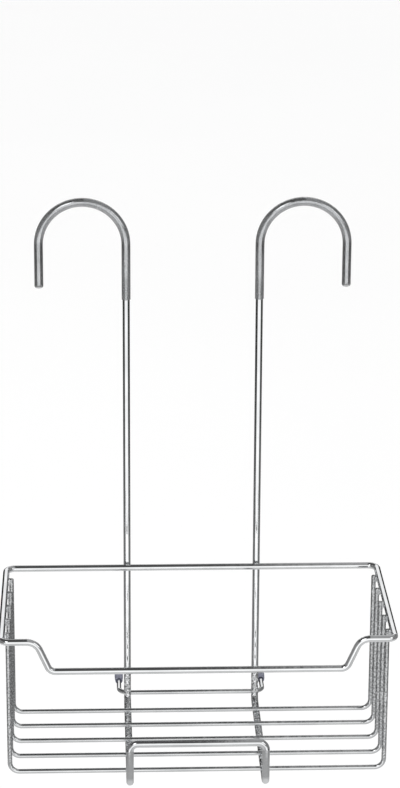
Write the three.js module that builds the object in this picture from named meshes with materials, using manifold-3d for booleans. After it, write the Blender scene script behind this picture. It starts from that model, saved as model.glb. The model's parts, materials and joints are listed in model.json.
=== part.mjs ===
// Shower caddy of bent and welded wire that hangs by two hooks over a wall mixer's inlets.
// Millimetres. +X right, +Z up, the front faces -Y and the wall is at +Y.
// Origin: midway between the hooks, in the plane of the uprights, at the underside of the hook tops.
import * as THREE from 'three';
import { mergeVertices } from 'three/addons/utils/BufferGeometryUtils.js';
import Module from 'manifold-3d';

const wasm = await Module();
wasm.setup();

// ---- wires and plastics (diameters) ----
const frameWire = 4.7;
const rimWire = 4.2;
const floorWire = 3.0;
const sleeveOuter = 5.7;
const capOuter = 5.7;
const gap = 0.15; // clearance between neighbouring solids
const wireSides = 10;
const hangerSides = 12;

// ---- hanger frame ----
const uprightSpacing = 86;
const hookRadius = 28; // wire centre line
const hookTipDrop = 27; // outer hook leg below the level of the arc's centre
const uprightBend = 6;
const railBend = 5;
const railHeight = 28.2; // front rail's crossbar above the runners, between centre lines

// ---- sleeves on the hooks ----
const sleeveInnerDrop = 36.5;
const sleeveOuterDrop = 28.5;
const sleeveTipWall = 1.3; // closed end below the wire's tip
const sleeveTipRound = 1.2; // height of its rounding

// ---- basket ----
const rimWidth = 246; // between wire centre lines
const rimDepth = 122;
const rimBackCorner = 6;
const rimFrontCorner = 4.5;
const rimBelowHooks = 220.8; // rim below the level of the hook arcs' centres
const basketHeight = 94.6; // rim to basket wires, between centre lines
const dipDepth = 20;
const dipHalfWidth = 92.7; // to the lower bends' corner points
const dipRun = 8.7; // sideways length of each slanted stretch
const dipUpperBend = 9;
const dipLowerBend = 5;
const floorWireCount = 5;
const floorWirePitch = 22.3;
const firstFloorWire = 20.2; // rear basket wire ahead of the rim's back wire
const floorWireBend = 6;
const floorWireRise = 1.2; // wire ends above the rim's centre line

// ---- wall spacer ----
const spacerLegSpacing = 97.2;
const spacerBend = 6.5;
const spacerReach = 31; // end of the wire behind the uprights' centre plane
const capStart = 23;
const capEnd = 33;
const capFlatWidth = 4.1;

// ---- levels and planes ----
const springLevel = sleeveOuter / 2 - hookRadius;
const rimLevel = springLevel - rimBelowHooks;
const floorLevel = rimLevel - basketHeight;
const runnerLevel = floorLevel - (floorWire + frameWire) / 2 - gap;
const rimBack = -(frameWire + rimWire) / 2 - gap;
const rimFront = rimBack - rimDepth;
const floorWireHalf = (rimWidth - rimWire - floorWire) / 2 - gap;
// The spacer touches the uprights where they begin to bend forward.
const spacerAboveBendCentre = floorLevel - (runnerLevel + uprightBend);
const spacerFromBendCentre = uprightBend + (frameWire + floorWire) / 2 + gap;
const spacerPlane = Math.sqrt(spacerFromBendCentre ** 2 - spacerAboveBendCentre ** 2) - uprightBend;
const hookCentre = uprightSpacing / 2 + hookRadius;

const chrome = () => new THREE.MeshStandardMaterial({ color: 0xd6d9dc, roughness: 0.08, metalness: 1 });
const clearVinyl = () => new THREE.MeshStandardMaterial({ color: 0x8f9698, roughness: 0.35, metalness: 0 });
const bumperVinyl = () => new THREE.MeshStandardMaterial({ color: 0x8b90a3, roughness: 0.4, metalness: 0 });

const v = (x, y, z) => new THREE.Vector3(x, y, z);

// A wire's centre line: straight runs between corner points, each corner a bend of its own radius.
// Its stations lie at the ends of the straight runs and at even steps round each bend.
class WirePath extends THREE.Curve {
  constructor(corners, bendStep = Math.PI / 12) {
    super();
    this.stations = [];
    corners.forEach((corner, i) => {
      if (i === 0 || i === corners.length - 1) {
        const other = corners[i === 0 ? 1 : i - 1].at;
        const along = i === 0 ? other.clone().sub(corner.at) : corner.at.clone().sub(other);
        this.addStation(corner.at, along);
        return;
      }
      this.addBend(corners[i - 1].at, corner, corners[i + 1].at, bendStep);
    });
  }

  addStation(point, along) {
    const last = this.stations.at(-1);
    if (last && last.point.distanceTo(point) < 1e-6) {
      return;
    }
    this.stations.push({ point: point.clone(), along: along.clone().normalize() });
  }

  addBend(before, corner, after, bendStep) {
    const arriving = corner.at.clone().sub(before).normalize();
    const leaving = after.clone().sub(corner.at).normalize();
    const turn = arriving.angleTo(leaving);
    const tangentLength = corner.radius * Math.tan(turn / 2);
    const inward = leaving.clone().sub(arriving).normalize();
    const centre = corner.at.clone().addScaledVector(inward, corner.radius / Math.cos(turn / 2));
    const start = corner.at.clone().addScaledVector(arriving, -tangentLength);
    const axis = arriving.clone().cross(leaving).normalize();
    const steps = Math.max(2, Math.round(turn / bendStep));
    for (let k = 0; k <= steps; k += 1) {
      const swing = (turn * k) / steps;
      const arm = start.clone().sub(centre).applyAxisAngle(axis, swing);
      this.addStation(centre.clone().add(arm), arriving.clone().applyAxisAngle(axis, swing));
    }
  }

  get steps() {
    return this.stations.length - 1;
  }

  getPointAt(u) {
    return this.stations[Math.round(u * this.steps)].point.clone();
  }

  getTangentAt(u) {
    return this.stations[Math.round(u * this.steps)].along.clone();
  }
}

const corner = (at, radius = 0) => ({ at, radius });

function ringPoints(radius, sides) {
  return Array.from({ length: sides }, (_, k) => {
    const angle = (2 * Math.PI * k) / sides;
    return new THREE.Vector2(radius * Math.cos(angle), radius * Math.sin(angle));
  });
}

function sweep(path, diameter, sides) {
  const section = new THREE.Shape(ringPoints(diameter / 2, sides));
  return new THREE.ExtrudeGeometry(section, { steps: path.steps, extrudePath: path });
}

function toSolid(geometry) {
  const bare = geometry.clone();
  bare.deleteAttribute('normal');
  bare.deleteAttribute('uv');
  const merged = mergeVertices(bare, 1e-4);
  const vertProperties = new Float32Array(merged.attributes.position.array);
  const triVerts = new Uint32Array(merged.index.array);
  return new wasm.Manifold(new wasm.Mesh({ numProp: 3, vertProperties, triVerts }));
}

function fromSolid(solid) {
  const mesh = solid.getMesh();
  const geometry = new THREE.BufferGeometry();
  geometry.setAttribute('position', new THREE.BufferAttribute(new Float32Array(mesh.vertProperties), 3));
  geometry.setIndex(new THREE.BufferAttribute(new Uint32Array(mesh.triVerts), 1));
  geometry.computeVertexNormals();
  return geometry;
}

// Each hook is two quarter bends that meet at the top, written from the outer tip inwards.
function hookCorners(side, outerEnd) {
  const outer = side * (hookCentre + hookRadius);
  const inner = (side * uprightSpacing) / 2;
  const top = springLevel + hookRadius;
  return [
    corner(v(outer, 0, outerEnd)),
    corner(v(outer, 0, top), hookRadius),
    corner(v(inner, 0, top), hookRadius),
  ];
}

const caddy = new THREE.Group();

function addPart(name, geometry, material) {
  const mesh = new THREE.Mesh(geometry, material);
  mesh.name = name;
  caddy.add(mesh);
  return mesh;
}

// One wire: hook, upright, runner under the basket, front rail, and the same back on the other side.
function hangerFrame() {
  const half = uprightSpacing / 2;
  const railTop = runnerLevel + railHeight;
  const tipLevel = springLevel - hookTipDrop;
  const floorCorners = (side) => [
    corner(v(side * half, 0, runnerLevel), uprightBend),
    corner(v(side * half, rimFront, runnerLevel), railBend),
    corner(v(side * half, rimFront, railTop), railBend),
  ];
  const path = new WirePath([
    ...hookCorners(-1, tipLevel),
    ...floorCorners(-1),
    ...floorCorners(1).reverse(),
    ...hookCorners(1, tipLevel).reverse(),
  ]);
  addPart('hanger_frame', sweep(path, frameWire, hangerSides), chrome());
}

// A sleeve covers the hook from its closed tip, just past the wire's end, to a little way down the upright.
function hookSleeve(name, side) {
  const inner = (side * uprightSpacing) / 2;
  const along = (outerEnd, innerEnd) => new WirePath([
    ...hookCorners(side, outerEnd),
    corner(v(inner, 0, innerEnd)),
  ]);
  const tip = springLevel - sleeveOuterDrop;
  const mouth = springLevel - sleeveInnerDrop;
  const roundEnd = new THREE.SphereGeometry(sleeveOuter / 2, hangerSides, 8);
  roundEnd.rotateX(Math.PI / 2);
  roundEnd.scale(1, 1, sleeveTipRound / (sleeveOuter / 2));
  roundEnd.translate(side * (hookCentre + hookRadius), 0, tip + sleeveTipRound);
  const tube = toSolid(sweep(along(tip + sleeveTipRound, mouth), sleeveOuter, hangerSides));
  const outside = tube.add(toSolid(roundEnd));
  const bore = toSolid(sweep(along(tip + sleeveTipWall, mouth - 1), frameWire + 2 * gap, hangerSides));
  addPart(name, fromSolid(outside.subtract(bore)), clearVinyl());
}

// The rim is a closed loop, made as two mirrored halves that join at the middle of its back and front.
function rimHalf(side) {
  const x = (side * rimWidth) / 2;
  const low = rimLevel - dipDepth;
  return new WirePath([
    corner(v(0, rimBack, rimLevel)),
    corner(v(x, rimBack, rimLevel), rimBackCorner),
    corner(v(x, rimFront, rimLevel), rimFrontCorner),
    corner(v(side * (dipHalfWidth + dipRun), rimFront, rimLevel), dipUpperBend),
    corner(v(side * dipHalfWidth, rimFront, low), dipLowerBend),
    corner(v(0, rimFront, low)),
  ]);
}

function basketRim() {
  const halves = [-1, 1].map((side) => toSolid(sweep(rimHalf(side), rimWire, wireSides)));
  addPart('basket_rim', fromSolid(halves[0].add(halves[1])), chrome());
}

// A basket wire runs down from the rim, across on top of the runners, and up to the rim again.
function basketWire(number) {
  const y = rimBack - firstFloorWire - (number - 1) * floorWirePitch;
  const end = rimLevel + floorWireRise;
  const path = new WirePath([
    corner(v(-floorWireHalf, y, end)),
    corner(v(-floorWireHalf, y, floorLevel), floorWireBend),
    corner(v(floorWireHalf, y, floorLevel), floorWireBend),
    corner(v(floorWireHalf, y, end)),
  ]);
  addPart(`basket_wire_${number}`, sweep(path, floorWire, wireSides), chrome());
}

// The spacer is welded behind the feet of the uprights, and its ends reach back towards the wall.
function wallSpacer() {
  const half = spacerLegSpacing / 2;
  const path = new WirePath([
    corner(v(-half, spacerReach, floorLevel)),
    corner(v(-half, spacerPlane, floorLevel), spacerBend),
    corner(v(half, spacerPlane, floorLevel), spacerBend),
    corner(v(half, spacerReach, floorLevel)),
  ]);
  addPart('wall_spacer', sweep(path, floorWire, wireSides), chrome());
}

// A cap is a small cup with its mouth towards the front and a flat end that rests on the wall.
function bumperCap(name, side) {
  const outer = capOuter / 2;
  const bore = floorWire / 2 + gap;
  const length = capEnd - capStart;
  const boreDepth = spacerReach - capStart + gap;
  const profile = [
    [bore, 0],
    [outer - 0.3, 0],
    [outer, 0.4],
    [outer, length - 0.8],
    [capFlatWidth / 2, length],
    [0, length],
    [0, boreDepth],
    [bore, boreDepth],
    [bore, 0],
  ].map(([r, h]) => new THREE.Vector2(r, h));
  const mesh = addPart(name, new THREE.LatheGeometry(profile, 16), bumperVinyl());
  mesh.position.set((side * spacerLegSpacing) / 2, capStart, floorLevel);
}

hangerFrame();
hookSleeve('hook_sleeve_left', -1);
hookSleeve('hook_sleeve_right', 1);
basketRim();
for (let number = 1; number <= floorWireCount; number += 1) {
  basketWire(number);
}
wallSpacer();
bumperCap('bumper_cap_left', -1);
bumperCap('bumper_cap_right', 1);

export default caddy;
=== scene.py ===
import json
import math

import bmesh
import bpy
from mathutils import Matrix, Vector, noise


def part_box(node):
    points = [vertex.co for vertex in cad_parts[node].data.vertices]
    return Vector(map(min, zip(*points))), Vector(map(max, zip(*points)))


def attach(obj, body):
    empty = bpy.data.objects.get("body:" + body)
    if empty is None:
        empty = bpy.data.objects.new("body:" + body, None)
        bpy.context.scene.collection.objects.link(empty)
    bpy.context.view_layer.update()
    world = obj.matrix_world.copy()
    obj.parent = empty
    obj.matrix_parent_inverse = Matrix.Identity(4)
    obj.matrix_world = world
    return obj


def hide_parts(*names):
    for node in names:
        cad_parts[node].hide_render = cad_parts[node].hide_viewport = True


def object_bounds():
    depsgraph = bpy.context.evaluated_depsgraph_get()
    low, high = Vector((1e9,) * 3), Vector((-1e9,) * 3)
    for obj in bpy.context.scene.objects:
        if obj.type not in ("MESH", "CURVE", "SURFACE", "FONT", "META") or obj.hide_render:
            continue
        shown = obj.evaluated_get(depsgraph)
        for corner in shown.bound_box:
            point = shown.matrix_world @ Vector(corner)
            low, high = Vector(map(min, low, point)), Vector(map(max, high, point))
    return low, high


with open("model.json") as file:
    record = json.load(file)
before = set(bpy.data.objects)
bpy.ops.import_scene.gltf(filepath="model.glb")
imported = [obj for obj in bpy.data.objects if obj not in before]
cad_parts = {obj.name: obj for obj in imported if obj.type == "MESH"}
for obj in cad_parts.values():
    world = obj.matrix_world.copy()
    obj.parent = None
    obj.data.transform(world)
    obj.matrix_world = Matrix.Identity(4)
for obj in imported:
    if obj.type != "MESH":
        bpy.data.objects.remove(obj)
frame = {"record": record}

# Shower caddy of bent and welded chrome wire. Metres, +X right, +Z up, the front faces -Y, the wall is at +Y.
CAD_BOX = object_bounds()
BODY = "root"
MM = 0.001

# ---- diameters ----
FRAME_WIRE = 4.7 * MM
RIM_WIRE = 4.2 * MM
THIN_WIRE = 3.0 * MM
SLEEVE_OUTER = 5.7 * MM
CAP_OUTER = 5.7 * MM

# ---- how finely the meshes are made ----
RING_SIDES = 28
ROUND_STEPS = 6  # round a softened end or lip
LIP_STEPS = 8  # round the lip of a cap
BEND_STEP = math.radians(4)
SHARP_FROM = math.radians(40)  # edges turning by more than this stay sharp
SAME_PLACE = 1e-8  # stations nearer than this are one

# ---- bends and lengths that no node's box gives ----
WIRE_GAP = 0.15 * MM
BASKET_WIRE_COUNT = 5
END_ROUNDING = 0.35  # of a cut wire's radius
BASKET_END_ROUNDING = 0.6
HOOK_TIP_DROP = 27 * MM
SLEEVE_TIP_DROP = 28.5 * MM
SLEEVE_WALL = 0.35 * MM
SLEEVE_TIP_WALL = 1.3 * MM
SLEEVE_TIP_ROUND = 1.6 * MM
UPRIGHT_BEND = 6 * MM
RAIL_BEND = 5 * MM
RAIL_HEIGHT = 28.2 * MM
RIM_BACK_CORNER = 6 * MM
RIM_FRONT_CORNER = 4.5 * MM
DIP_HALF_WIDTH = 92.7 * MM
DIP_RUN = 8.7 * MM
DIP_UPPER_BEND = 9 * MM
DIP_LOWER_BEND = 5 * MM
BASKET_WIRE_BEND = 6 * MM
SPACER_BEND = 6.5 * MM
SPACER_INSET = 2 * MM  # spacer wire's end inside the cap's closed end

# ---- bumper caps ----
CAP_BORE = THIN_WIRE / 2 + WIRE_GAP  # radius
CAP_BORE_START = 0.4 * MM  # behind the lip
CAP_MOUTH_INSET = 0.35 * MM  # the mouth's radius is this much smaller than the cap's
CAP_LIP_SHARE = 0.7  # of half the mouth's wall
CAP_TAPER_SHARE = 0.55  # of the cap's length
CAP_END_ROUND = 0.9 * MM

# ---- weld beads, half sizes along x, y and z ----
RUNNER_WELD = (1.9 * MM, 2.4 * MM, 1.1 * MM)
RIM_WELD = (1.3 * MM, 1.7 * MM, 2.7 * MM)
BACK_WELD = (1.9 * MM, 0.8 * MM, 1.9 * MM)
SPACER_WELD = (1.7 * MM, 0.9 * MM, 1.5 * MM)
RIM_WELD_INSET = 0.3 * MM  # centre inside the rim wire's inner side
RIM_WELD_DROP = 1.2 * MM
WELD_LUMPS = 0.16  # share of a bead's size
WELD_LUMP_SCALE = 2.1

# ---- floor, light and camera (angles in radians) ----
GROUND_HALF = 14.0
GROUND_DROP = 0.35  # below the caddy
SOFTBOXES = (  # name, place, width, height, power
    ("key_softbox", (-0.9, -1.6, 1.3), 0.9, 0.9, 6),
    ("fill_softbox", (1.2, -1.2, 0.6), 0.7, 1.0, 3),
)
CAMERA_PLACE = (-0.0627, -1.7123, 0.4459)
CAMERA_LENS = 126.5
CAMERA_YAW = 0.0395  # to the right of +Y
CAMERA_PITCH = 0.3223  # below level
CAMERA_ROLL = 0.0053  # about the line of sight

# ---- the range that most of a noise lies in ----
NOISE_LOW = 0.3
NOISE_HIGH = 0.7

# ---- what the chrome sees of the studio, as strengths by direction ----
ROOM_GLOW = 0.02
FRONT_GLOW = 1.15
FRONT_FLAG = 0.75  # share held back in the front's upper corners
BACK_GLOW = 1.0
SIDE_GLOW = 0.22
FLANK_GLOW = 0.16  # between the back and the sides
NEAR_FLOOR_GLOW = 0.50
LOW_FLOOR_GLOW = 0.18
CEILING_GLOW = 0.06
CEILING_RIGHT_GLOW = 0.28  # added to the right of the middle


def centre_of(low, high):
    return (Vector(low) + Vector(high)) / 2


def record_mount(name):
    mounts = {mount["name"]: mount for mount in frame["record"]["mounts"]}
    return Vector(mounts[name]["pos_m"])


# ---------------------------------------------------------------- wire paths

def bend_stations(before, corner, radius, after):
    """Points and directions round one bend."""
    arriving = (corner - before).normalized()
    leaving = (after - corner).normalized()
    turn = arriving.angle(leaving)
    inward = (leaving - arriving).normalized()
    middle = corner + inward * radius / math.cos(turn / 2)
    start = corner - arriving * radius * math.tan(turn / 2)
    axis = arriving.cross(leaving).normalized()
    steps = max(3, round(turn / BEND_STEP))
    stations = []
    for k in range(steps + 1):
        swing = Matrix.Rotation(turn * k / steps, 3, axis)
        stations.append((middle + swing @ (start - middle), swing @ arriving))
    return stations


def wire_stations(corners, closed=False):
    """Points and directions along a wire. A corner is (x, y, z) with its bend radius, 0 at a loose end."""
    points = [Vector(at) for at, _ in corners]
    stations = []
    for k, (_, radius) in enumerate(corners):
        if closed or 0 < k < len(corners) - 1:
            after = points[(k + 1) % len(points)]
            stations += bend_stations(points[k - 1], points[k], radius, after)
        elif k == 0:
            stations.append((points[0], (points[1] - points[0]).normalized()))
        else:
            stations.append((points[-1], (points[-1] - points[-2]).normalized()))
    apart = [stations[0]]
    for point, direction in stations[1:]:
        if (point - apart[-1][0]).length > SAME_PLACE:
            apart.append((point, direction))
    return apart


def with_frames(stations):
    """Adds two cross directions to each station, carried along without twist."""
    along = stations[0][1]
    side = along.orthogonal().normalized()
    framed = []
    for point, direction in stations:
        side = along.rotation_difference(direction) @ side
        side = (side - direction * side.dot(direction)).normalized()
        along = direction
        framed.append((point, direction, side, direction.cross(side)))
    return framed


def with_level_frames(stations):
    """The same for a loop that is never upright, measured from +Z so that its ends meet."""
    framed = []
    for point, direction in stations:
        side = direction.cross(Vector((0, 0, 1))).normalized()
        framed.append((point, direction, side, direction.cross(side)))
    return framed


def end_rings(station, radius, rounding, outward):
    """Rings that round off a loose end.

    The station is the very end, and outward is +1 or -1 along the wire.
    """
    point, direction, side, other = station
    rings = []
    for k in range(ROUND_STEPS + 1):
        angle = math.pi / 2 * k / ROUND_STEPS
        back = rounding * (1 - math.sin(angle))
        centre = point - direction * outward * back
        rings.append((centre, side, other, radius - rounding * (1 - math.cos(angle))))
    return rings if outward > 0 else rings[::-1]


# ---------------------------------------------------------------- meshes

def ring_mesh(name, rings, closed=False):
    """Skin over rings of (centre, side, other, radius), with its ends filled or joined to each other."""
    vertices = []
    for centre, side, other, radius in rings:
        for k in range(RING_SIDES):
            angle = 2 * math.pi * k / RING_SIDES
            vertices.append(centre + (side * math.cos(angle) + other * math.sin(angle)) * radius)
    faces = []
    spans = len(rings) if closed else len(rings) - 1
    for row in range(spans):
        first, second = row * RING_SIDES, (row + 1) % len(rings) * RING_SIDES
        for k in range(RING_SIDES):
            turn = (k + 1) % RING_SIDES
            faces.append((first + k, first + turn, second + turn, second + k))
    if not closed:
        faces.append(tuple(range(RING_SIDES))[::-1])
        faces.append(tuple(range(len(vertices) - RING_SIDES, len(vertices))))
    mesh = bpy.data.meshes.new(name)
    mesh.from_pydata(vertices, [], faces)
    mesh.validate()
    mesh.shade_smooth()
    mesh.set_sharp_from_angle(angle=SHARP_FROM)
    return mesh


def add_piece(name, mesh, material, slot, *nodes):
    piece = bpy.data.objects.new(name, mesh)
    bpy.context.scene.collection.objects.link(piece)
    mesh.materials.append(material)
    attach(piece, BODY)
    if nodes:
        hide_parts(*nodes)


def wire_mesh(name, corners, diameter, rounding=END_ROUNDING):
    """Round wire with its cut ends softened by a share of its radius."""
    radius = diameter / 2
    stations = with_frames(wire_stations(corners))
    first = end_rings(stations[0], radius, radius * rounding, -1)
    last = end_rings(stations[-1], radius, radius * rounding, 1)
    middle = [(point, side, other, radius) for point, _, side, other in stations[1:-1]]
    return ring_mesh(name, first + middle + last)


# ---------------------------------------------------------------- materials

def new_material(name):
    material = bpy.data.materials.new(name)
    material.use_nodes = True
    return material, material.node_tree, material.node_tree.nodes["Principled BSDF"]


def noise_node(tree, coordinates, scale, detail):
    node = tree.nodes.new("ShaderNodeTexNoise")
    node.inputs["Scale"].default_value = scale
    node.inputs["Detail"].default_value = detail
    tree.links.new(coordinates, node.inputs["Vector"])
    return node.outputs["Fac"]


def range_node(tree, value, low, high):
    """Spreads the middle of a noise from low to high."""
    node = tree.nodes.new("ShaderNodeMapRange")
    node.inputs["From Min"].default_value = NOISE_LOW
    node.inputs["From Max"].default_value = NOISE_HIGH
    node.inputs["To Min"].default_value = low
    node.inputs["To Max"].default_value = high
    tree.links.new(value, node.inputs["Value"])
    return node.outputs["Result"]


def colour_ramp(tree, value, low, high):
    """The same between two colours."""
    node = tree.nodes.new("ShaderNodeValToRGB")
    node.color_ramp.elements[0].position = NOISE_LOW
    node.color_ramp.elements[1].position = NOISE_HIGH
    node.color_ramp.elements[0].color = (*low, 1)
    node.color_ramp.elements[1].color = (*high, 1)
    tree.links.new(value, node.inputs["Fac"])
    return node.outputs["Color"]


def bump_node(tree, height, strength, distance, normal=None):
    node = tree.nodes.new("ShaderNodeBump")
    node.inputs["Strength"].default_value = strength
    node.inputs["Distance"].default_value = distance
    tree.links.new(height, node.inputs["Height"])
    if normal is not None:
        tree.links.new(normal, node.inputs["Normal"])
    return node.outputs["Normal"]


def math_node(tree, kind, *values):
    node = tree.nodes.new("ShaderNodeMath")
    node.operation = kind
    for socket, value in zip(node.inputs, values):
        if isinstance(value, (int, float)):
            socket.default_value = value
        else:
            tree.links.new(value, socket)
    return node.outputs[0]


def fade_node(tree, value, start, whole, kind="LINEAR"):
    """0 where the value is at start or before it, 1 where it is whole."""
    node = tree.nodes.new("ShaderNodeMapRange")
    node.interpolation_type = kind
    node.inputs["From Min"].default_value = start
    node.inputs["From Max"].default_value = whole
    tree.links.new(value, node.inputs["Value"])
    return node.outputs["Result"]


def separate_node(tree, vector):
    node = tree.nodes.new("ShaderNodeSeparateXYZ")
    tree.links.new(vector, node.inputs[0])
    return node.outputs


def zone_mask(tree, where, fades):
    """1 inside a zone and 0 outside it. Each fade is an axis, where it starts and where it is whole."""
    along = separate_node(tree, where)
    mask = 1.0
    for axis, start, whole in fades:
        mask = math_node(tree, "MULTIPLY", fade_node(tree, along[axis], start, whole), mask)
    return mask


def shade_node(tree, colour, share):
    node = tree.nodes.new("ShaderNodeVectorMath")
    node.operation = "SCALE"
    tree.links.new(colour, node.inputs[0])
    tree.links.new(share, node.inputs["Scale"])
    return node.outputs[0]


def chrome(name, low, high, smooth, rough, ripple, zone=(), grit_scale=0.0, grit=0.0, duller=0.0, painted_shade=0.0):
    """Bright plate over drawn wire: slight tone and gloss changes, fine pits and a long soft ripple.

    In a zone, given as fades for zone_mask, the plate is gritty and duller, and its colour is darkened as
    painted shade.
    """
    material, tree, shader = new_material(name)
    where = tree.nodes.new("ShaderNodeTexCoord").outputs["Object"]
    tone = noise_node(tree, where, scale=45, detail=3)
    gloss = noise_node(tree, where, scale=160, detail=4)
    pits = noise_node(tree, where, scale=2600, detail=2)
    wave = noise_node(tree, where, scale=210, detail=2)
    colour = colour_ramp(tree, tone, low, high)
    roughness = range_node(tree, gloss, smooth, rough)
    normal = bump_node(tree, wave, ripple, distance=0.4 * MM)
    if zone:
        mask = zone_mask(tree, where, zone)
        lumps = math_node(tree, "MULTIPLY", noise_node(tree, where, grit_scale, detail=1), mask)
        normal = bump_node(tree, lumps, strength=1.0, distance=grit, normal=normal)
        if duller:
            roughness = math_node(tree, "MULTIPLY_ADD", mask, duller, roughness)
        # Painted shade: inside the zone the base colour is scaled down to stand in for darker reflections.
        if painted_shade:
            colour = shade_node(tree, colour, math_node(tree, "MULTIPLY_ADD", mask, -painted_shade, 1.0))
    tree.links.new(colour, shader.inputs["Base Color"])
    tree.links.new(roughness, shader.inputs["Roughness"])
    pitted = bump_node(tree, pits, strength=0.08, distance=0.05 * MM, normal=normal)
    tree.links.new(pitted, shader.inputs["Normal"])
    shader.inputs["Metallic"].default_value = 1.0
    return material


def vinyl(name, low, high, mottle, clear, smooth, rough, grain):
    """Soft translucent plastic with a mottle and a fine moulded grain."""
    material, tree, shader = new_material(name)
    where = tree.nodes.new("ShaderNodeTexCoord").outputs["Object"]
    tone = noise_node(tree, where, mottle, detail=3)
    gloss = noise_node(tree, where, scale=300, detail=3)
    skin = noise_node(tree, where, scale=1500, detail=3)
    tree.links.new(colour_ramp(tree, tone, low, high), shader.inputs["Base Color"])
    tree.links.new(range_node(tree, gloss, smooth, rough), shader.inputs["Roughness"])
    tree.links.new(bump_node(tree, skin, grain, distance=0.1 * MM), shader.inputs["Normal"])
    shader.inputs["Transmission Weight"].default_value = clear
    shader.inputs["IOR"].default_value = 1.53
    return material


# ---------------------------------------------------------------- places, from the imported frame

FRAME_LOW, FRAME_HIGH = map(Vector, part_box("hanger_frame"))
RIM_LOW, RIM_HIGH = map(Vector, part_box("basket_rim"))
SPACER_LOW, SPACER_HIGH = map(Vector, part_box("wall_spacer"))
SLEEVE_LOW, SLEEVE_HIGH = map(Vector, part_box("hook_sleeve_right"))

HOOK_CENTRE_X = centre_of(SLEEVE_LOW, SLEEVE_HIGH).x
HOOK_RADIUS = FRAME_HIGH.x - FRAME_WIRE / 2 - HOOK_CENTRE_X
UPRIGHT_X = HOOK_CENTRE_X - HOOK_RADIUS
HOOK_OUTER_X = HOOK_CENTRE_X + HOOK_RADIUS
HOOK_TOP = FRAME_HIGH.z - FRAME_WIRE / 2
SPRING_LEVEL = HOOK_TOP - HOOK_RADIUS
RUNNER_LEVEL = FRAME_LOW.z + FRAME_WIRE / 2
RAIL_Y = FRAME_LOW.y + FRAME_WIRE / 2

RIM_X = RIM_HIGH.x - RIM_WIRE / 2
RIM_LEVEL = RIM_HIGH.z - RIM_WIRE / 2
RIM_DIP_LEVEL = RIM_LOW.z + RIM_WIRE / 2
RIM_BACK = RIM_HIGH.y - RIM_WIRE / 2
RIM_FRONT = RIM_LOW.y + RIM_WIRE / 2

FLOOR_LEVEL = record_mount("wall_rest_right").z  # of the basket's floor wires and the spacer
SPACER_LEG_X = record_mount("wall_rest_right").x
SPACER_Y = SPACER_LOW.y + THIN_WIRE / 2
BASKET_WIRES = [f"basket_wire_{number}" for number in range(1, BASKET_WIRE_COUNT + 1)]
BASKET_WIRE_Y = [centre_of(*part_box(node)).y for node in BASKET_WIRES]
BASKET_WIRE_X = RIM_X - (RIM_WIRE + THIN_WIRE) / 2 - WIRE_GAP
BASKET_WIRE_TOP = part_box(BASKET_WIRES[0])[1][2]


# ---------------------------------------------------------------- the caddy's own materials

# The uprights' feet and the runners, but not the front rail's legs.
FOOT_ZONE = (
    ("Z", FLOOR_LEVEL + 20 * MM, FLOOR_LEVEL + 12 * MM),
    ("Y", RAIL_Y + 8 * MM, RAIL_Y + 16 * MM),
)
# Up the basket's sides, from the bends on: grit and duller gloss, and painted shade that darkens the thin
# wires' colour.
SIDE_GRIT_AND_SHADE_ZONE = (("Z", FLOOR_LEVEL + 4 * MM, FLOOR_LEVEL + 16 * MM),)

FRAME_CHROME = chrome("frame_chrome", (0.70, 0.71, 0.72), (0.84, 0.85, 0.86), smooth=0.03, rough=0.07,
                      ripple=0.08, zone=FOOT_ZONE, grit_scale=330, grit=2.0 * MM)
RIM_CHROME = chrome("rim_chrome", (0.76, 0.77, 0.78), (0.88, 0.89, 0.90), smooth=0.03, rough=0.06,
                    ripple=0.07)
# Thin wires: their colour is darkened up the basket's sides as painted shade.
THIN_CHROME = chrome("thin_wire_chrome", (0.64, 0.65, 0.66), (0.78, 0.79, 0.80), smooth=0.05, rough=0.11,
                     ripple=0.14, zone=SIDE_GRIT_AND_SHADE_ZONE, grit_scale=560, grit=0.55 * MM, duller=0.12, painted_shade=0.22)
WELD_CHROME = chrome("weld_chrome", (0.50, 0.51, 0.52), (0.80, 0.81, 0.82), smooth=0.06, rough=0.20,
                     ripple=0.9)
SLEEVE_VINYL = vinyl("sleeve_vinyl", (0.74, 0.745, 0.75), (0.84, 0.845, 0.85), mottle=120, clear=0.94,
                     smooth=0.05, rough=0.12, grain=0.08)
CAP_VINYL = vinyl("cap_vinyl", (0.18, 0.19, 0.26), (0.40, 0.41, 0.51), mottle=650, clear=0.35,
                  smooth=0.28, rough=0.42, grain=0.2)


# ---------------------------------------------------------------- pieces

def hook_corners(side, end_level):
    outer, inner = side * HOOK_OUTER_X, side * UPRIGHT_X
    return [
        ((outer, 0, end_level), 0),
        ((outer, 0, HOOK_TOP), HOOK_RADIUS),
        ((inner, 0, HOOK_TOP), HOOK_RADIUS),
    ]


def frame_wire():
    def below(side):
        x = side * UPRIGHT_X
        return [
            ((x, 0, RUNNER_LEVEL), UPRIGHT_BEND),
            ((x, RAIL_Y, RUNNER_LEVEL), RAIL_BEND),
            ((x, RAIL_Y, RUNNER_LEVEL + RAIL_HEIGHT), RAIL_BEND),
        ]
    tip = SPRING_LEVEL - HOOK_TIP_DROP
    corners = hook_corners(-1, tip) + below(-1) + below(1)[::-1] + hook_corners(1, tip)[::-1]
    mesh = wire_mesh("frame_wire", corners, FRAME_WIRE)
    add_piece("frame_wire", mesh, FRAME_CHROME, "chrome_frame", "hanger_frame")


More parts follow.
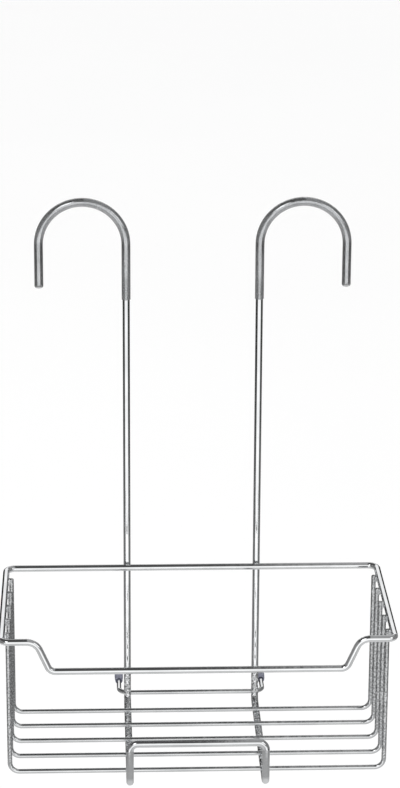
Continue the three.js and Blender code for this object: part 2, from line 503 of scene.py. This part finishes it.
def rim_wire():
    shoulder = DIP_HALF_WIDTH + DIP_RUN
    corners = [
        ((-RIM_X, RIM_BACK, RIM_LEVEL), RIM_BACK_CORNER),
        ((RIM_X, RIM_BACK, RIM_LEVEL), RIM_BACK_CORNER),
        ((RIM_X, RIM_FRONT, RIM_LEVEL), RIM_FRONT_CORNER),
        ((shoulder, RIM_FRONT, RIM_LEVEL), DIP_UPPER_BEND),
        ((DIP_HALF_WIDTH, RIM_FRONT, RIM_DIP_LEVEL), DIP_LOWER_BEND),
        ((-DIP_HALF_WIDTH, RIM_FRONT, RIM_DIP_LEVEL), DIP_LOWER_BEND),
        ((-shoulder, RIM_FRONT, RIM_LEVEL), DIP_UPPER_BEND),
        ((-RIM_X, RIM_FRONT, RIM_LEVEL), RIM_FRONT_CORNER),
    ]
    stations = with_level_frames(wire_stations(corners, closed=True))
    rings = [(point, side, other, RIM_WIRE / 2) for point, _, side, other in stations]
    mesh = ring_mesh("rim_wire", rings, closed=True)
    add_piece("rim_wire", mesh, RIM_CHROME, "chrome_rim", "basket_rim")


def basket_wire(node, y):
    x = BASKET_WIRE_X
    corners = [
        ((-x, y, BASKET_WIRE_TOP), 0),
        ((-x, y, FLOOR_LEVEL), BASKET_WIRE_BEND),
        ((x, y, FLOOR_LEVEL), BASKET_WIRE_BEND),
        ((x, y, BASKET_WIRE_TOP), 0),
    ]
    name = node.replace("basket", "round")
    mesh = wire_mesh(name, corners, THIN_WIRE, BASKET_END_ROUNDING)
    add_piece(name, mesh, THIN_CHROME, "chrome_thin", node)


def spacer_wire():
    x, end = SPACER_LEG_X, SPACER_HIGH.y
    corners = [
        ((-x, end, FLOOR_LEVEL), 0),
        ((-x, SPACER_Y, FLOOR_LEVEL), SPACER_BEND),
        ((x, SPACER_Y, FLOOR_LEVEL), SPACER_BEND),
        ((x, end, FLOOR_LEVEL), 0),
    ]
    mesh = wire_mesh("spacer_wire", corners, THIN_WIRE)
    add_piece("spacer_wire", mesh, THIN_CHROME, "chrome_thin", "wall_spacer")


def hook_sleeve(name, node, side):
    """Thin sleeve, rounded and closed at the hook's tip, with a soft lip where it ends on the upright."""
    outer, bore = SLEEVE_OUTER / 2, SLEEVE_OUTER / 2 - SLEEVE_WALL
    corners = hook_corners(side, SPRING_LEVEL - SLEEVE_TIP_DROP)
    corners.append(((side * UPRIGHT_X, 0, SLEEVE_LOW.z), 0))
    stations = with_frames(wire_stations(corners))
    rings = end_rings(stations[0], outer, SLEEVE_TIP_ROUND, -1)
    rings += [(point, across, other, outer) for point, _, across, other in stations[1:-1]]
    point, along, across, other = stations[-1]
    lip = SLEEVE_WALL / 2
    for k in range(ROUND_STEPS + 1):
        angle = math.pi * k / ROUND_STEPS
        centre = point - along * lip * (1 - math.sin(angle))
        rings.append((centre, across, other, bore + lip + lip * math.cos(angle)))
    rings += [(point, across, other, bore) for point, _, across, other in stations[-2:0:-1]]
    point, along, across, other = stations[0]
    rings.append((point + along * SLEEVE_TIP_WALL, across, other, bore))
    add_piece(name, ring_mesh(name, rings), SLEEVE_VINYL, "sleeve_vinyl", node)


def bumper_cap(name, node):
    """Cup that pushes onto a spacer end: soft lip, slight taper towards the mouth, rounded closed end."""
    low, high = map(Vector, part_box(node))
    axis = centre_of(low, high)
    length = high.y - low.y
    outer = CAP_OUTER / 2
    wall = (outer - CAP_MOUTH_INSET - CAP_BORE) / 2
    lip_height = wall * CAP_LIP_SHARE
    depth = length - SPACER_INSET + WIRE_GAP
    profile = [(CAP_BORE, depth), (CAP_BORE, CAP_BORE_START)]
    for k in range(LIP_STEPS + 1):
        angle = math.pi * k / LIP_STEPS
        profile.append((CAP_BORE + wall - wall * math.cos(angle), lip_height * (1 - math.sin(angle))))
    profile.append((outer, length * CAP_TAPER_SHARE))
    for k in range(ROUND_STEPS + 1):
        angle = math.pi / 2 * k / ROUND_STEPS
        radius = outer - CAP_END_ROUND * (1 - math.cos(angle))
        profile.append((radius, length - CAP_END_ROUND * (1 - math.sin(angle))))
    across, other = Vector((0, 0, 1)), Vector((1, 0, 0))
    rings = [(Vector((axis.x, low.y + along, axis.z)), across, other, radius) for radius, along in profile]
    add_piece(name, ring_mesh(name, rings), CAP_VINYL, "cap_vinyl", node)


def add_weld(name, place, radii, seed):
    """Small lumpy bead. The seed picks its own part of the noise."""
    shape = bmesh.new()
    bmesh.ops.create_icosphere(shape, subdivisions=4, radius=1.0)
    for vertex in shape.verts:
        lump = noise.noise(vertex.co * WELD_LUMP_SCALE + Vector((seed * 3.7, seed * 1.3, 0)))
        vertex.co *= 1 + WELD_LUMPS * lump
        vertex.co = Vector((vertex.co.x * radii[0], vertex.co.y * radii[1], vertex.co.z * radii[2]))
    mesh = bpy.data.meshes.new(name)
    shape.to_mesh(mesh)
    shape.free()
    mesh.shade_smooth()
    mesh.transform(Matrix.Translation(Vector(place)))
    add_piece(name, mesh, WELD_CHROME, "chrome_thin")


def welds():
    """Beads under the basket wires, inside the rim and where the uprights meet the rim and the spacer."""
    seed = 0
    for side, hand in ((-1, "left"), (1, "right")):
        x = side * UPRIGHT_X
        rim_x = side * (RIM_X - RIM_WIRE / 2 - RIM_WELD_INSET)
        for number, y in enumerate(BASKET_WIRE_Y, 1):
            seed += 1
            add_weld(f"weld_runner_{number}_{hand}", (x, y, FLOOR_LEVEL - THIN_WIRE / 2), RUNNER_WELD, seed)
            add_weld(f"weld_rim_{number}_{hand}", (rim_x, y, RIM_LEVEL - RIM_WELD_DROP), RIM_WELD, seed + 20)
        add_weld(f"weld_back_{hand}", (x, RIM_BACK + RIM_WIRE / 2, RIM_LEVEL), BACK_WELD, seed + 40)
        add_weld(f"weld_spacer_{hand}", (x, SPACER_Y - THIN_WIRE / 2, FLOOR_LEVEL), SPACER_WELD, seed + 50)


frame_wire()
rim_wire()
for wire_node, wire_y in zip(BASKET_WIRES, BASKET_WIRE_Y):
    basket_wire(wire_node, wire_y)
spacer_wire()
hook_sleeve("sleeve_left", "hook_sleeve_left", -1)
hook_sleeve("sleeve_right", "hook_sleeve_right", 1)
bumper_cap("cap_left", "bumper_cap_left")
bumper_cap("cap_right", "bumper_cap_right")
welds()


# ---------------------------------------------------------------- floor, light and camera

def floor():
    material, tree, shader = new_material("pale_floor")
    where = tree.nodes.new("ShaderNodeTexCoord").outputs["Object"]
    tone = noise_node(tree, where, scale=1.2, detail=2)
    colour = colour_ramp(tree, tone, (0.985, 0.985, 0.985), (0.995, 0.995, 0.995))
    tree.links.new(colour, shader.inputs["Base Color"])
    shader.inputs["Roughness"].default_value = 1.0
    shader.inputs["Specular IOR Level"].default_value = 0.0
    mesh = bpy.data.meshes.new("floor")
    half, level = GROUND_HALF, CAD_BOX[0].z - GROUND_DROP
    corners = [(-half, -half, level), (half, -half, level), (half, half, level), (-half, half, level)]
    mesh.from_pydata(corners, [], [(0, 1, 2, 3)])
    mesh.materials.append(material)
    ground = bpy.data.objects.new("floor", mesh)
    bpy.context.scene.collection.objects.link(ground)
    ground.visible_glossy = False
    ground.visible_transmission = False


def add_softbox(name, place, target, width, height, power):
    light = bpy.data.lights.new(name, "AREA")
    light.shape = "RECTANGLE"
    light.size = width
    light.size_y = height
    light.energy = power
    lamp = bpy.data.objects.new(name, light)
    bpy.context.scene.collection.objects.link(lamp)
    lamp.location = place
    lamp.rotation_euler = (Vector(target) - Vector(place)).to_track_quat("-Z", "Y").to_euler()


def studio_world():
    """Plain white to the camera and for diffuse light. Reflections and clear plastic see a studio.

    The studio is bright in front and behind, dim at the sides and overhead, and grey below. Each edge
    is a component of the direction looked in, from -1 to 1.
    """
    world = bpy.data.worlds.new("studio")
    bpy.context.scene.world = world
    world.use_nodes = True
    tree = world.node_tree
    tree.nodes.clear()

    def times(first, second):
        return math_node(tree, "MULTIPLY", first, second)

    def ease(value, start, whole):
        return fade_node(tree, value, start, whole, "SMOOTHSTEP")

    x, y, z = separate_node(tree, tree.nodes.new("ShaderNodeTexCoord").outputs["Generated"])
    toward = times(y, -1)
    across = math_node(tree, "ABSOLUTE", x)
    level = times(ease(z, -0.455, -0.385), ease(z, 0.65, 0.40))
    raised = times(ease(z, 0.16, 0.30), ease(z, 0.60, 0.45))
    aside = times(ease(across, 0.35, 0.55), ease(z, -0.20, 0.0))
    flagged = math_node(tree, "MULTIPLY_ADD", aside, -FRONT_FLAG, 1.0)
    facing = times(ease(toward, 0.55, 0.75), level)
    front = times(times(facing, flagged), FRONT_GLOW)
    back = times(times(ease(y, 0.70, 0.90), raised), BACK_GLOW)
    beside = times(ease(z, -0.27, -0.20), ease(z, 0.65, 0.40))
    sides = times(times(ease(across, 0.60, 0.80), beside), SIDE_GLOW)
    slanting = times(ease(y, 0.58, 0.70), ease(y, 0.92, 0.84))
    flanks = times(times(slanting, level), FLANK_GLOW)
    floor_near = times(ease(z, -0.25, -0.55), NEAR_FLOOR_GLOW)
    floor_below = times(ease(z, -0.55, -0.85), LOW_FLOOR_GLOW)
    ceiling = math_node(tree, "MULTIPLY_ADD", ease(x, 0.04, 0.07), CEILING_RIGHT_GLOW, CEILING_GLOW)
    above = times(ease(z, 0.45, 0.75), ceiling)
    studio = ROOM_GLOW
    for glow in (front, back, sides, flanks, floor_near, floor_below, above):
        studio = math_node(tree, "ADD", glow, studio)
    path = tree.nodes.new("ShaderNodeLightPath")
    plain = math_node(tree, "MAXIMUM", path.outputs["Is Camera Ray"], path.outputs["Is Diffuse Ray"])
    mix = tree.nodes.new("ShaderNodeMix")
    tree.links.new(plain, mix.inputs["Factor"])
    tree.links.new(studio, mix.inputs["A"])
    mix.inputs["B"].default_value = 1.0
    background = tree.nodes.new("ShaderNodeBackground")
    background.inputs["Color"].default_value = (1, 1, 1, 1)
    tree.links.new(mix.outputs["Result"], background.inputs["Strength"])
    output = tree.nodes.new("ShaderNodeOutputWorld")
    tree.links.new(background.outputs[0], output.inputs["Surface"])


def add_camera():
    # The picture is 400 wide and 788 tall, so the lens's 36 mm sensor spans the height.
    data = bpy.data.cameras.new("camera")
    data.lens = CAMERA_LENS
    camera = bpy.data.objects.new("camera", data)
    bpy.context.scene.collection.objects.link(camera)
    level = math.cos(CAMERA_PITCH)
    ahead = Vector((math.sin(CAMERA_YAW) * level, math.cos(CAMERA_YAW) * level, -math.sin(CAMERA_PITCH)))
    roll = Matrix.Rotation(CAMERA_ROLL, 3, "Z").to_quaternion()
    camera.location = CAMERA_PLACE
    camera.rotation_mode = "QUATERNION"
    camera.rotation_quaternion = ahead.to_track_quat("-Z", "Y") @ roll
    bpy.context.scene.camera = camera


floor()
studio_world()
for box_name, box_place, box_width, box_height, box_power in SOFTBOXES:
    add_softbox(box_name, box_place, centre_of(*CAD_BOX), box_width, box_height, box_power)
add_camera()
bpy.context.scene.view_settings.view_transform = "Standard"
